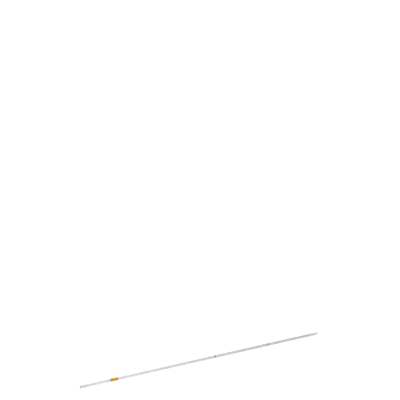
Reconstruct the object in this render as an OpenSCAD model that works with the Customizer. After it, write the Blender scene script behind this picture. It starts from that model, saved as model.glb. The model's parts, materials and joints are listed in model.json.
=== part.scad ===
// A disposable glass capillary pipette: a thin straight tube with two volume rings
// and a colour code band fired on to its outside.
//
// The tube lies along X on the plane z = 0, at the middle of its length. It fills from
// its end at +X, and the holder takes its end at -X. The volume up to a ring is the
// volume of the bore up to there, so the rings move when the bore or the volume changes.

/* [Tube] */
// Length of the tube from lip to lip
tube_length = 125; // [100:1:150]
// Outside diameter of the tube
tube_d = 1.1; // [0.9:0.01:1.6]
// Diameter of the bore
bore_d = 0.469; // [0.45:0.001:0.7]
// Radius to which the flame has rounded the lips
lip_r = 0.08; // [0.02:0.01:0.15]

/* [Volume rings] */
// Volume up to the full ring, in microlitres
full_volume = 10; // [2:0.5:11]
// Width of each ring
ring_w = 0.15; // [0.1:0.05:0.5]

/* [Colour code] */
// Width of the colour band
band_w = 3.4; // [1:0.1:6]
// Clear length between the holder end and the colour band
band_setback = 14.3; // [8:0.1:20]

/* [Print] */
// Thickness of the fired print on the glass
print_t = 0.02; // [0.01:0.005:0.05]

/* [Hidden] */
$fn = 96;

tube_r = tube_d / 2;
bore_r = bore_d / 2;
wall = tube_r - bore_r;
lip = min(lip_r, 0.4 * wall);

// A microlitre is a cubic millimetre, so this is the length of bore that holds a volume
function filled_length(volume) = volume / (PI * pow(bore_r, 2));

full_at = filled_length(full_volume);
half_at = filled_length(full_volume / 2);
band_at = tube_length - band_setback - band_w / 2;

// Lays down what is modelled upright, with its distance from the filling end along +Z
module lying() {
    translate([tube_length / 2, 0, tube_r + print_t])
        rotate([0, -90, 0])
            children();
}

// The wall cut through on one side of the axis, with its four corners rounded
module wall_section() {
    translate([bore_r, lip]) square([wall, tube_length - 2 * lip]);
    translate([bore_r + lip, 0]) square([wall - 2 * lip, tube_length]);
    for (r = [bore_r + lip, tube_r - lip], z = [lip, tube_length - lip])
        translate([r, z]) circle(r = lip);
}

// One band of print round the tube, centred on a distance from the filling end
module printed_band(at, width) {
    rotate_extrude()
        translate([tube_r, at - width / 2])
            square([print_t, width]);
}

module glass_tube() {
    color([0.80, 0.83, 0.84, 0.45])
        lying()
            rotate_extrude() wall_section();
}

module colour_band() {
    color([0.84, 0.55, 0.08])
        lying() printed_band(band_at, band_w);
}

module half_volume_ring() {
    color([0.10, 0.10, 0.11])
        lying() printed_band(half_at, ring_w);
}

module full_volume_ring() {
    color([0.10, 0.10, 0.11])
        lying() printed_band(full_at, ring_w);
}

glass_tube();
colour_band();
half_volume_ring();
full_volume_ring();
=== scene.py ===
"""Dresses the packed capillary tube: drawn glass, fired print, and a plain studio."""

import json
import math

import bmesh
import bpy
from bpy.props import (
    FloatProperty,
    FloatVectorProperty,
    IntProperty,
    PointerProperty,
)
from mathutils import Matrix, Vector


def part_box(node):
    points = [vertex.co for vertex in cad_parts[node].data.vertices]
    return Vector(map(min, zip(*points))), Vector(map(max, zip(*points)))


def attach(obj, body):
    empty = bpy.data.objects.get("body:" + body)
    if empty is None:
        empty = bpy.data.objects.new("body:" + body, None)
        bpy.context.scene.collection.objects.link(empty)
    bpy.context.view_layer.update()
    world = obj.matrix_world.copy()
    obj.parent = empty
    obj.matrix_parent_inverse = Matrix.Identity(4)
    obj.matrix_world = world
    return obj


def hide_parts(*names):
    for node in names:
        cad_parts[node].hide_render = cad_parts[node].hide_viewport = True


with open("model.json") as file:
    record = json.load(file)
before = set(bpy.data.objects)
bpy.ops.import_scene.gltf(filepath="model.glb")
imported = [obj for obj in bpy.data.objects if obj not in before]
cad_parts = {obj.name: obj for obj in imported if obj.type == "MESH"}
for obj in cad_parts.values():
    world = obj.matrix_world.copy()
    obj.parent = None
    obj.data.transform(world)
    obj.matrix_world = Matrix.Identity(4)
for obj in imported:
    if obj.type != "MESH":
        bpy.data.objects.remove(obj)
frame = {"record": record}

bl_info = {
    "name": "Glass Capillary Tube",
    "version": (1, 0, 0),
    "blender": (4, 5, 0),
    "location": "View3D > Sidebar > Capillary",
    "description": "Models a ring-marked glass capillary tube with its fired print",
    "category": "Object",
}

# The wall is a third of a millimetre thick, which is under the modelling operators'
# tolerances in metres. So each piece is modelled in millimetres and then shrunk.
MM = 0.001

# Vertices that are closer than this, in millimetres, become one
WELD_DISTANCE = 0.0005


# ---------------------------------------------------------------- sizes from the frame


def mount_size(name, size):
    """A size of one of the record's mounts, in metres."""
    for mount in frame["record"]["mounts"]:
        if mount["name"] == name:
            return mount["dims"][size] * MM
    raise ValueError(f"the record has no mount named {name}")


TUBE_LOW, TUBE_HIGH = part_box("glass_tube")
BAND_LOW, BAND_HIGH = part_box("colour_band")
TUBE_LENGTH = TUBE_HIGH.x - TUBE_LOW.x
TUBE_RADIUS = (TUBE_HIGH.z - TUBE_LOW.z) / 2
AXIS_HEIGHT = (TUBE_HIGH.z + TUBE_LOW.z) / 2
BORE_RADIUS = mount_size("bore", "r_mm")
LIP_RADIUS = (TUBE_LENGTH - mount_size("bore", "length_mm")) / 2
PRINT_THICKNESS = (BAND_HIGH.z - BAND_LOW.z) / 2 - TUBE_RADIUS


# ---------------------------------------------------------------- settings


class CapillaryGlassSettings(bpy.types.PropertyGroup):
    """The drawn glass tube."""

    sides: IntProperty(
        name="Sides",
        description="Number of flats that stand for the round of the tube",
        default=120,
        min=24,
    )
    lip_steps: IntProperty(
        name="Lip Steps",
        description="Number of facets across each flame-rounded corner of a lip",
        default=8,
        min=2,
    )
    stations: IntProperty(
        name="Stations",
        description="Number of rings of vertices along the tube, between its lips",
        default=24,
        min=1,
    )
    tint: FloatVectorProperty(
        name="Tint",
        description="What the outer wall lets through",
        subtype="COLOR",
        default=(0.93, 0.915, 0.935),
        min=0.0,
        max=1.0,
    )
    # The bore wall lets through much less than the outer wall. This is painted shade: it
    # darkens the middle of the tube, where the sight lines cross the bore.
    bore_painted_shade: FloatVectorProperty(
        name="Bore Tint",
        description="What the wall of the bore lets through",
        subtype="COLOR",
        default=(0.675, 0.658, 0.695),
        min=0.0,
        max=1.0,
    )
    ior: FloatProperty(
        name="IOR",
        description="Refractive index of borosilicate glass",
        default=1.473,
        min=1.0,
        max=2.0,
    )
    draw_line_width: FloatProperty(
        name="Draw Line Width",
        description="Width round the tube of the faint lines that drawing leaves",
        subtype="DISTANCE",
        unit="LENGTH",
        default=0.08 * MM,
        precision=6,
    )
    draw_line_stretch: FloatProperty(
        name="Draw Line Stretch",
        description="How many times as long as wide the lines that drawing leaves are",
        default=400.0,
        min=1.0,
    )
    draw_line_depth: FloatProperty(
        name="Draw Line Depth",
        description="Depth of the faint lines that drawing leaves along the tube",
        subtype="DISTANCE",
        unit="LENGTH",
        default=0.0006 * MM,
        precision=7,
    )
    smear_width: FloatProperty(
        name="Smear Width",
        description="Width round the tube of the smears that handling leaves",
        subtype="DISTANCE",
        unit="LENGTH",
        default=0.64 * MM,
        precision=6,
    )
    smear_stretch: FloatProperty(
        name="Smear Stretch",
        description="How many times as long as wide the smears are",
        default=6.0,
        min=1.0,
    )
    smear_roughness: FloatProperty(
        name="Smear Roughness",
        description="Roughness of the drawn surface in the middle of a smear",
        default=0.06,
        min=0.0,
        max=1.0,
    )
    lip_roughness: FloatProperty(
        name="Lip Roughness",
        description="Roughness of the lips, which the flame has only partly smoothed",
        default=0.55,
        min=0.0,
        max=1.0,
    )
    lip_frost: FloatProperty(
        name="Lip Frost",
        description="Share of the light that the lips scatter back and don't let through",
        default=0.5,
        min=0.0,
        max=1.0,
    )


class CapillaryPrintSettings(bpy.types.PropertyGroup):
    """The colour code band and the volume rings."""

    orange: FloatVectorProperty(
        name="Orange",
        description="Colour of the code band where the print is thick",
        subtype="COLOR",
        default=(0.75, 0.345, 0.003),
        min=0.0,
        max=1.0,
    )
    orange_thin: FloatVectorProperty(
        name="Thin Orange",
        description="Colour of the code band where the print is thin",
        subtype="COLOR",
        default=(0.79, 0.40, 0.008),
        min=0.0,
        max=1.0,
    )
    # The inner side is a much paler orange than the outside. This is painted light: it
    # stands in for the light that reaches the inner side through the thin print.
    painted_light_orange_inside: FloatVectorProperty(
        name="Inside Orange",
        description="Colour of the code band's inner side, as seen through the glass",
        subtype="COLOR",
        default=(0.95, 0.62, 0.12),
        min=0.0,
        max=1.0,
    )
    black: FloatVectorProperty(
        name="Black",
        description="Colour of the volume rings where the print is thick",
        subtype="COLOR",
        default=(0.012, 0.012, 0.014),
        min=0.0,
        max=1.0,
    )
    black_thin: FloatVectorProperty(
        name="Thin Black",
        description="Colour of the volume rings where the print is thin",
        subtype="COLOR",
        default=(0.035, 0.033, 0.032),
        min=0.0,
        max=1.0,
    )
    band_stations: IntProperty(
        name="Band Stations",
        description="Number of rings of vertices along the code band",
        default=24,
        min=1,
    )
    ring_stations: IntProperty(
        name="Ring Stations",
        description="Number of rings of vertices along each volume ring",
        default=4,
        min=1,
    )
    embed: FloatProperty(
        name="Embed",
        description="Depth to which the firing has sunk the print into the glass",
        subtype="DISTANCE",
        unit="LENGTH",
        default=0.01 * MM,
        precision=6,
    )
    edge_radius: FloatProperty(
        name="Edge Radius",
        description="Radius of the print's rounded edges",
        subtype="DISTANCE",
        unit="LENGTH",
        default=0.9 * PRINT_THICKNESS,
        precision=6,
    )
    edge_steps: IntProperty(
        name="Edge Steps",
        description="Number of facets across each rounded edge of the print",
        default=4,
        min=1,
    )
    edge_wander: FloatProperty(
        name="Edge Wander",
        description="How far the print's edges wander along the tube",
        subtype="DISTANCE",
        unit="LENGTH",
        default=0.015 * MM,
        precision=6,
    )
    edge_wave: FloatProperty(
        name="Edge Wave",
        description="Size of the waves in which the print's edges wander",
        subtype="DISTANCE",
        unit="LENGTH",
        default=0.35 * MM,
        precision=6,
    )
    edge_reach: FloatProperty(
        name="Edge Reach",
        description="Distance from an edge within which the print wanders with it",
        subtype="DISTANCE",
        unit="LENGTH",
        default=2 * PRINT_THICKNESS,
        precision=6,
    )
    gloss: FloatProperty(
        name="Gloss",
        description="Strength of the print's shine, where 0.5 is that of common glass",
        default=0.12,
        min=0.0,
        max=1.0,
    )
    glow: FloatProperty(
        name="Glow",
        description="Share of the light that the thin print scatters inside itself",
        default=0.6,
        min=0.0,
        max=1.0,
    )
    glow_depth: FloatProperty(
        name="Glow Depth",
        description="How far the light that is scattered travels in the print",
        subtype="DISTANCE",
        unit="LENGTH",
        default=4 * PRINT_THICKNESS,
        precision=6,
    )
    least_roughness: FloatProperty(
        name="Least Roughness",
        description="Roughness of the print where it is smoothest",
        default=0.28,
        min=0.0,
        max=1.0,
    )
    most_roughness: FloatProperty(
        name="Most Roughness",
        description="Roughness of the print where it is dullest",
        default=0.5,
        min=0.0,
        max=1.0,
    )
    grain: FloatProperty(
        name="Grain",
        description="Width round the tube of the mottling in the print",
        subtype="DISTANCE",
        unit="LENGTH",
        default=0.07 * MM,
        precision=6,
    )
    grain_stretch: FloatProperty(
        name="Grain Stretch",
        description="How many times as long as wide the mottling is",
        default=1.5,
        min=1.0,
    )


class CapillaryStageSettings(bpy.types.PropertyGroup):
    """Floor, lights and camera."""

    floor_size: FloatProperty(
        name="Floor Size",
        description="Width of the floor",
        subtype="DISTANCE",
        unit="LENGTH",
        default=16.0,
    )
    floor_colour: FloatVectorProperty(
        name="Floor Colour",
        description="Colour of the floor",
        subtype="COLOR",
        default=(0.9, 0.9, 0.9),
        min=0.0,
        max=1.0,
    )
    floor_lift: FloatProperty(
        name="Floor Lift",
        description="Light that the floor adds where it is seen, to make it white",
        default=0.26,
        min=0.0,
    )
    pale_side: FloatVectorProperty(
        name="Pale Side",
        description="Colour of the surroundings on their palest side",
        subtype="COLOR",
        default=(1.0, 1.0, 1.0),
        min=0.0,
        max=1.0,
    )
    grey_side: FloatVectorProperty(
        name="Grey Side",
        description="Colour of the surroundings on their darkest side",
        subtype="COLOR",
        default=(0.16, 0.155, 0.16),
        min=0.0,
        max=1.0,
    )
    grey_towards: FloatVectorProperty(
        name="Grey Towards",
        description="Direction in which the surroundings are darkest",
        subtype="DIRECTION",
        default=(1.0, 0.0, 0.0),
    )
    grey_from: FloatProperty(
        name="Grey From",
        description="Cosine to that direction at which the surroundings start to darken",
        default=0.49,
        min=-1.0,
        max=1.0,
    )
    grey_full: FloatProperty(
        name="Grey Full",
        description="Cosine to that direction at which the surroundings are darkest",
        default=0.64,
        min=-1.0,
        max=1.0,
    )
    fill: FloatProperty(
        name="Fill",
        description="Strength of the even light from all around",
        default=0.75,
        min=0.0,
    )
    key_strength: FloatProperty(
        name="Key Strength",
        description="Strength of the soft lamp, in watts on a square metre",
        default=0.9,
        min=0.0,
    )
    key_softness: FloatProperty(
        name="Key Softness",
        description="Angle across which the lamp is seen from the tube",
        subtype="ANGLE",
        unit="ROTATION",
        default=math.radians(45),
    )
    key_from: FloatVectorProperty(
        name="Key From",
        description="Direction from which the lamp shines",
        subtype="DIRECTION",
        default=(-0.3, -0.3, 0.9),
    )
    lens: FloatProperty(
        name="Lens",
        description="Focal length of the camera, in millimetres",
        default=107.0,
        min=1.0,
    )
    camera_place: FloatVectorProperty(
        name="Camera Place",
        description="Place of the camera",
        subtype="TRANSLATION",
        unit="LENGTH",
        default=(-0.28397, -0.39913, 0.17439),
    )
    camera_heading: FloatProperty(
        name="Camera Heading",
        description="Turn of the camera about the vertical, from looking along +Y",
        subtype="ANGLE",
        unit="ROTATION",
        default=math.radians(-35.016),
    )
    camera_pitch: FloatProperty(
        name="Camera Pitch",
        description="Angle by which the camera looks down",
        subtype="ANGLE",
        unit="ROTATION",
        default=math.radians(11.96),
    )
    camera_roll: FloatProperty(
        name="Camera Roll",
        description="Turn of the camera about its own line of sight",
        subtype="ANGLE",
        unit="ROTATION",
        default=math.radians(0.58),
    )


# ---------------------------------------------------------------- modelling helpers


def add_section(name, start, end, inner, outer):
    """A flat oblong cut through one side of the axis, left open in edit mode.

    start and end lie along the tube and inner and outer are radii, all in metres.
    The mesh is in millimetres.
    """
    bpy.ops.object.select_all(action="DESELECT")
    place = Vector(((start + end) / 2, 0, AXIS_HEIGHT + (inner + outer) / 2)) / MM
    bpy.ops.mesh.primitive_plane_add(
        size=1,
        calc_uvs=False,
        location=place,
        rotation=(math.pi / 2, 0, 0),
    )
    piece = bpy.context.object
    piece.name = name
    piece.data.name = name
    bpy.ops.object.transform_apply(location=True, rotation=True, scale=True)
    bpy.ops.object.mode_set(mode="EDIT")
    bpy.ops.mesh.select_all(action="SELECT")
    bpy.ops.transform.resize(
        value=((end - start) / MM, 1, (outer - inner) / MM),
        center_override=place,
    )
    return piece


def select_where(piece, kind, test):
    """Selects the piece's "verts" or "edges" for which test is true, in edit mode."""
    mode = {"verts": "VERT", "edges": "EDGE"}[kind]
    bpy.ops.mesh.select_mode(type=mode)
    bpy.ops.mesh.select_all(action="DESELECT")
    mesh = bmesh.from_edit_mesh(piece.data)
    for element in getattr(mesh, kind):
        if test(element):
            element.select_set(True)
    mesh.select_flush_mode()
    bmesh.update_edit_mesh(piece.data)


def turn_section(piece, length, stations, sides):
    """Turns the section's outline about the tube's axis into a closed shell.

    Its sides along the tube get that many stations, with no face between them yet.
    """
    bpy.ops.mesh.select_all(action="SELECT")
    bpy.ops.mesh.delete(type="ONLY_FACE")
    long_edge = length / MM / 2
    select_where(piece, "edges", lambda edge: edge.calc_length() > long_edge)
    bpy.ops.mesh.subdivide(number_cuts=stations)
    bpy.ops.mesh.select_all(action="SELECT")
    bpy.ops.mesh.spin(
        steps=sides,
        angle=math.tau,
        center=(0, 0, AXIS_HEIGHT / MM),
        axis=(1, 0, 0),
    )
    bpy.ops.mesh.select_all(action="SELECT")
    bpy.ops.mesh.remove_doubles(threshold=WELD_DISTANCE)
    bpy.ops.mesh.normals_make_consistent(inside=False)
    bpy.ops.object.mode_set(mode="OBJECT")


def to_metres(piece):
    """Shrinks a piece that was modelled in millimetres about the origin."""
    piece.scale = (MM, MM, MM)
    bpy.ops.object.transform_apply(location=False, rotation=False, scale=True)
    bpy.ops.object.shade_smooth()


def finish_piece(piece, node, material):
    """Puts a finished piece in the place of its CAD node."""
    piece.data.materials.append(material)
    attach(piece, "root")
    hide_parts(node)


# ---------------------------------------------------------------- material helpers


def new_material(name):
    """An empty node material, with its tree and its Principled node."""
    material = bpy.data.materials.new(name)
    material.use_nodes = True
    tree = material.node_tree
    return material, tree, tree.nodes["Principled BSDF"]


def stretched_noise(tree, width, stretch, detail):
    """Noise whose marks are width across and stretch times as long along the tube."""
    place = tree.nodes.new("ShaderNodeTexCoord")
    mapping = tree.nodes.new("ShaderNodeMapping")
    mapping.inputs["Scale"].default_value = (1 / (width * stretch), 1 / width, 1 / width)
    noise = tree.nodes.new("ShaderNodeTexNoise")
    noise.inputs["Scale"].default_value = 1.0
    noise.inputs["Detail"].default_value = detail
    tree.links.new(place.outputs["Object"], mapping.inputs["Vector"])
    tree.links.new(mapping.outputs["Vector"], noise.inputs["Vector"])
    return noise.outputs["Fac"]


def distance(tree, along, across):
    """Distance from the tube's middle, in metres.

    along and across are 1 where that direction counts and 0 where it doesn't.
    """
    place = tree.nodes.new("ShaderNodeTexCoord")
    mapping = tree.nodes.new("ShaderNodeMapping")
    mapping.inputs["Location"].default_value = (0, 0, -AXIS_HEIGHT * across)
    mapping.inputs["Scale"].default_value = (along, across, across)
    length = tree.nodes.new("ShaderNodeVectorMath")
    length.operation = "LENGTH"
    tree.links.new(place.outputs["Object"], mapping.inputs["Vector"])
    tree.links.new(mapping.outputs["Vector"], length.inputs[0])
    return length.outputs["Value"]


def spread(tree, value, levels, results=(0.0, 1.0)):
    """The value between two levels of it, as a value between two results."""
    span = tree.nodes.new("ShaderNodeMapRange")
    span.inputs["From Min"].default_value = levels[0]
    span.inputs["From Max"].default_value = levels[1]
    span.inputs["To Min"].default_value = results[0]
    span.inputs["To Max"].default_value = results[1]
    tree.links.new(value, span.inputs["Value"])
    return span.outputs["Result"]


def larger(tree, first, second):
    """The larger of two values."""
    pick = tree.nodes.new("ShaderNodeMath")
    pick.operation = "MAXIMUM"
    tree.links.new(first, pick.inputs[0])
    tree.links.new(second, pick.inputs[1])
    return pick.outputs["Value"]


def blend_colours(tree, share, first, second):
    """The first colour where share is 0 and the second where it is 1.

    Each is a colour or the output of a node.
    """
    mix = tree.nodes.new("ShaderNodeMix")
    mix.data_type = "RGBA"
    for name, colour in (("A", first), ("B", second)):
        if isinstance(colour, bpy.types.NodeSocket):
            tree.links.new(colour, mix.inputs[name])
        else:
            mix.inputs[name].default_value = (*colour, 1)
    tree.links.new(share, mix.inputs["Factor"])
    return mix.outputs["Result"]


def add_relief(tree, shader, height, depth):
    """Bump of that depth, in metres, on the shader."""
    bump = tree.nodes.new("ShaderNodeBump")
    bump.inputs["Strength"].default_value = 1.0
    bump.inputs["Distance"].default_value = depth
    tree.links.new(height, bump.inputs["Height"])
    tree.links.new(bump.outputs["Normal"], shader.inputs["Normal"])


# ---------------------------------------------------------------- finishes


# Noise seldom leaves the middle of its range from 0 to 1. These are the levels of it
# between which smears build up, the print thins and the print dulls.
SMEAR_LEVELS = (0.45, 0.75)
THIN_LEVELS = (0.35, 0.7)
DULL_LEVELS = (0.3, 0.7)

# The print's bumps are a quarter as wide as its grain, and a sixtieth of it deep
BUMP_WIDTH = 1 / 4
BUMP_DEPTH = 1 / 60


def outwards(tree, inner, outer):
    """0 within the inner radius from the tube's axis, and 1 beyond the outer one."""
    return spread(tree, distance(tree, along=0, across=1), (inner, outer))


def on_lips(tree):
    """0 along the tube and 1 on its lips, from half-way along their rounding."""
    start = TUBE_LENGTH / 2 - LIP_RADIUS
    reach = (start, start + LIP_RADIUS / 2)
    return spread(tree, distance(tree, along=1, across=0), reach)


def drawn_glass(settings):
    """Clear glass with the faint lengthwise lines of a drawn tube, frosted lips, and
    painted shade in its darker bore wall.
    """
    material, tree, shader = new_material("drawn_glass")
    shader.inputs["IOR"].default_value = settings.ior
    # The wall of the bore gets the darker bore tint, which is painted shade for the
    # tube's middle. The outer wall gets the glass's own tint.
    wall = outwards(tree, BORE_RADIUS, BORE_RADIUS + LIP_RADIUS)
    tint = blend_colours(tree, wall, settings.bore_painted_shade, settings.tint)
    tree.links.new(tint, shader.inputs["Base Color"])
    lines = stretched_noise(
        tree, settings.draw_line_width, settings.draw_line_stretch, detail=2
    )
    add_relief(tree, shader, lines, settings.draw_line_depth)
    smears = stretched_noise(tree, settings.smear_width, settings.smear_stretch, detail=3)
    smeared = spread(tree, smears, SMEAR_LEVELS, (0.0, settings.smear_roughness))
    lips = on_lips(tree)
    frosted = spread(tree, lips, (0.0, 1.0), (0.0, settings.lip_roughness))
    tree.links.new(larger(tree, smeared, frosted), shader.inputs["Roughness"])
    clear = spread(tree, lips, (0.0, 1.0), (1.0, 1.0 - settings.lip_frost))
    tree.links.new(clear, shader.inputs["Transmission Weight"])
    return material


def fired_print(name, thick, thin, inside, settings):
    """Ceramic ink burnt on to glass: satin, a little mottled, and thin in places.

    inside is its colour where it meets the glass. For the code band it is paler than the
    print: painted light, for the light that comes through the thin print to its inner
    side.
    """
    material, tree, shader = new_material(name)
    shader.inputs["Specular IOR Level"].default_value = settings.gloss
    shader.inputs["Subsurface Weight"].default_value = settings.glow
    shader.inputs["Subsurface Scale"].default_value = settings.glow_depth
    shader.inputs["Subsurface Radius"].default_value = thin
    mottle = stretched_noise(tree, settings.grain, settings.grain_stretch, detail=4)
    surface = blend_colours(tree, spread(tree, mottle, THIN_LEVELS), thick, thin)
    # Where the print meets the glass it takes the inside colour, which for the code band
    # is painted light.
    outside = outwards(tree, TUBE_RADIUS - settings.embed, TUBE_RADIUS)
    colour = blend_colours(tree, outside, inside, surface)
    tree.links.new(colour, shader.inputs["Base Color"])
    results = (settings.least_roughness, settings.most_roughness)
    rough = spread(tree, mottle, DULL_LEVELS, results)
    tree.links.new(rough, shader.inputs["Roughness"])
    bumps = stretched_noise(tree, settings.grain * BUMP_WIDTH, stretch=1, detail=2)
    add_relief(tree, shader, bumps, settings.grain * BUMP_DEPTH)
    return material


# ---------------------------------------------------------------- pieces


class CAPILLARY_OT_glass_tube(bpy.types.Operator):
    """Turns the glass tube from its wall section, with flame-rounded lips"""

    bl_idname = "capillary.glass_tube"
    bl_label = "Drawn Glass Tube"

    def execute(self, context):
        settings = context.scene.capillary_glass
        piece = add_section(
            "drawn_glass_tube", TUBE_LOW.x, TUBE_HIGH.x, BORE_RADIUS, TUBE_RADIUS
        )
        bpy.ops.mesh.bevel(
            offset=LIP_RADIUS / MM,
            segments=settings.lip_steps,
            affect="VERTICES",
        )
        turn_section(piece, TUBE_LENGTH, settings.stations, settings.sides)
        to_metres(piece)
        finish_piece(piece, "glass_tube", drawn_glass(settings))
        return {"FINISHED"}


def wander_along(piece, group, amount, wave):
    """Moves the group's vertices to and fro along the tube, in waves of that size."""
    texture = bpy.data.textures.new(f"{piece.name}_{group}", "CLOUDS")
    texture.noise_scale = wave
    bpy.ops.object.modifier_add(type="DISPLACE")
    modifier = piece.modifiers[-1]
    modifier.texture = texture
    modifier.texture_coords = "LOCAL"
    modifier.vertex_group = group
    modifier.direction = "X"
    # The modifier moves a vertex by up to half its strength each way
    modifier.strength = 2 * amount
    bpy.ops.object.modifier_apply(modifier=modifier.name)


def add_print(settings, sides, node, name, stations):
    """One band of print round the tube, where its CAD node is.

    Its inner side lies in the glass, and its two outer edges are rounded and wander.
    """
    low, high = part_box(node)
    inner = TUBE_RADIUS - settings.embed
    outer = TUBE_RADIUS + PRINT_THICKNESS
    piece = add_section(name, low.x, high.x, inner, outer)
    middle = (AXIS_HEIGHT + (inner + outer) / 2) / MM
    select_where(piece, "verts", lambda vertex: vertex.co.z > middle)
    bpy.ops.mesh.bevel(
        offset=settings.edge_radius / MM,
        segments=settings.edge_steps,
        affect="VERTICES",
    )
    turn_section(piece, high.x - low.x, stations, sides)
    ends = piece.vertex_groups.new(name="ends")
    reach = settings.edge_reach / MM
    near_end = [
        vertex.index
        for vertex in piece.data.vertices
        if min(vertex.co.x - low.x / MM, high.x / MM - vertex.co.x) < reach
    ]
    ends.add(near_end, 1.0, "REPLACE")
    wander_along(piece, "ends", settings.edge_wander / MM, settings.edge_wave / MM)
    to_metres(piece)
    return piece


class CAPILLARY_OT_colour_band(bpy.types.Operator):
    """Prints the colour code band near the holder end"""

    bl_idname = "capillary.colour_band"
    bl_label = "Colour Code Band"

    def execute(self, context):
        settings = context.scene.capillary_print
        sides = context.scene.capillary_glass.sides
        stations = settings.band_stations
        piece = add_print(settings, sides, "colour_band", "fired_colour_band", stations)
        # The band's inner side gets the paler inside orange, which is painted light.
        finish = fired_print(
            "fired_orange",
            settings.orange,
            settings.orange_thin,
            settings.painted_light_orange_inside,
            settings,
        )
        finish_piece(piece, "colour_band", finish)
        return {"FINISHED"}


class CAPILLARY_OT_volume_rings(bpy.types.Operator):
    """Prints the two volume rings"""

    bl_idname = "capillary.volume_rings"
    bl_label = "Volume Rings"

    def execute(self, context):
        settings = context.scene.capillary_print
        sides = context.scene.capillary_glass.sides
        stations = settings.ring_stations
        finish = fired_print(
            "fired_black",
            settings.black,
            settings.black_thin,
            settings.black_thin,
            settings,
        )
        for node in ("half_volume_ring", "full_volume_ring"):
            piece = add_print(settings, sides, node, f"fired_{node}", stations)
            finish_piece(piece, node, finish)
        return {"FINISHED"}


# ---------------------------------------------------------------- stage


def seen_ray(tree):
    """1 for a ray that the camera sends, straight or through gloss or glass."""
    path = tree.nodes.new("ShaderNodeLightPath")
    through = larger(
        tree, path.outputs["Is Glossy Ray"], path.outputs["Is Transmission Ray"]
    )
    return larger(tree, path.outputs["Is Camera Ray"], through)


def floor_finish(settings):
    """A white floor that keeps shadows and has a little light of its own where seen."""
    material, tree, shader = new_material("white_floor")
    shader.inputs["Base Color"].default_value = (*settings.floor_colour, 1)
    shader.inputs["Roughness"].default_value = 1.0
    shader.inputs["Specular IOR Level"].default_value = 0.0
    lift = tree.nodes.new("ShaderNodeMath")
    lift.operation = "MULTIPLY"
    lift.inputs[1].default_value = settings.floor_lift
    tree.links.new(seen_ray(tree), lift.inputs[0])
    shader.inputs["Emission Color"].default_value = (1, 1, 1, 1)
    tree.links.new(lift.outputs["Value"], shader.inputs["Emission Strength"])
    return material


def studio_world(settings):
    """An even fill light, seen in gloss and glass as surroundings that darken one way.

    Behind the object, where the camera looks straight at it, it is white.
    """
    world = bpy.data.worlds.new("studio")
    world.use_nodes = True
    tree = world.node_tree
    background = tree.nodes["Background"]
    place = tree.nodes.new("ShaderNodeTexCoord")
    towards = tree.nodes.new("ShaderNodeVectorMath")
    towards.operation = "DOT_PRODUCT"
    towards.inputs[1].default_value = Vector(settings.grey_towards).normalized()
    tree.links.new(place.outputs["Generated"], towards.inputs[0])
    cosines = (settings.grey_from, settings.grey_full)
    share = spread(tree, towards.outputs["Value"], cosines)
    around = blend_colours(tree, share, settings.pale_side, settings.grey_side)
    fill = (settings.fill,) * 3
    lit = blend_colours(tree, seen_ray(tree), fill, around)
    path = tree.nodes.new("ShaderNodeLightPath")
    seen = blend_colours(tree, path.outputs["Is Camera Ray"], lit, (1, 1, 1))
    tree.links.new(seen, background.inputs["Color"])
    return world


def add_floor(settings):
    """The plane on which the tube lies."""
    bpy.ops.object.select_all(action="DESELECT")
    bpy.ops.mesh.primitive_plane_add(size=settings.floor_size)
    floor = bpy.context.object
    floor.name = "studio_floor"
    floor.data.materials.append(floor_finish(settings))


def add_key_lamp(settings):
    """One broad soft lamp, far enough away to light the whole floor alike."""
    turn = Vector(settings.key_from).to_track_quat("Z", "Y")
    bpy.ops.object.light_add(type="SUN", rotation=turn.to_euler())
    lamp = bpy.context.object
    lamp.name = "key_lamp"
    lamp.data.angle = settings.key_softness
    lamp.data.energy = settings.key_strength


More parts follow.
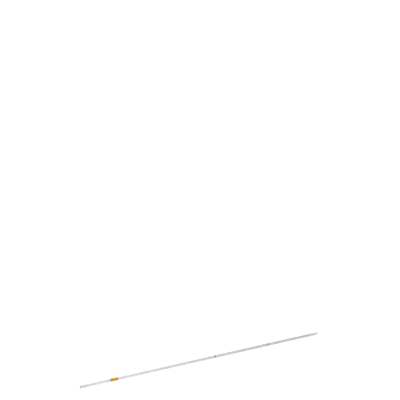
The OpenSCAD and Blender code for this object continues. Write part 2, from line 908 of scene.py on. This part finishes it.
def add_camera(settings):
    """The camera, set up by its place, heading, pitch and roll."""
    turn = (
        Matrix.Rotation(settings.camera_heading, 3, "Z")
        @ Matrix.Rotation(math.pi / 2 - settings.camera_pitch, 3, "X")
        @ Matrix.Rotation(settings.camera_roll, 3, "Z")
    )
    bpy.ops.object.camera_add(
        location=settings.camera_place,
        rotation=turn.to_euler(),
    )
    camera = bpy.context.object
    camera.name = "studio_camera"
    camera.data.lens = settings.lens
    bpy.context.scene.camera = camera


class CAPILLARY_OT_stage(bpy.types.Operator):
    """Sets up the floor, the surroundings, the lamp and the camera"""

    bl_idname = "capillary.stage"
    bl_label = "Studio Stage"

    def execute(self, context):
        settings = context.scene.capillary_stage
        add_floor(settings)
        add_key_lamp(settings)
        add_camera(settings)
        context.scene.world = studio_world(settings)
        context.scene.view_settings.view_transform = "Standard"
        return {"FINISHED"}


# ---------------------------------------------------------------- panel and add-on


OPERATORS = (
    CAPILLARY_OT_glass_tube,
    CAPILLARY_OT_colour_band,
    CAPILLARY_OT_volume_rings,
    CAPILLARY_OT_stage,
)

SETTINGS = {
    "capillary_glass": CapillaryGlassSettings,
    "capillary_print": CapillaryPrintSettings,
    "capillary_stage": CapillaryStageSettings,
}


class CAPILLARY_PT_panel(bpy.types.Panel):
    """Lists the steps and the settings of the capillary tube"""

    bl_idname = "CAPILLARY_PT_panel"
    bl_label = "Capillary Tube"
    bl_space_type = "VIEW_3D"
    bl_region_type = "UI"
    bl_category = "Capillary"

    def draw(self, context):
        layout = self.layout
        for operator in OPERATORS:
            layout.operator(operator.bl_idname)
        for name, group in SETTINGS.items():
            box = layout.box()
            box.label(text=group.__doc__)
            for setting in group.__annotations__:
                box.prop(getattr(context.scene, name), setting)


CLASSES = (*SETTINGS.values(), *OPERATORS, CAPILLARY_PT_panel)


def register():
    for cls in CLASSES:
        bpy.utils.register_class(cls)
    for name, group in SETTINGS.items():
        setattr(bpy.types.Scene, name, PointerProperty(type=group))


def unregister():
    for name in SETTINGS:
        delattr(bpy.types.Scene, name)
    for cls in reversed(CLASSES):
        bpy.utils.unregister_class(cls)


def main():
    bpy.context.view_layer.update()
    register()
    bpy.ops.capillary.glass_tube()
    bpy.ops.capillary.colour_band()
    bpy.ops.capillary.volume_rings()
    bpy.ops.capillary.stage()


if __name__ == "__main__":
    main()
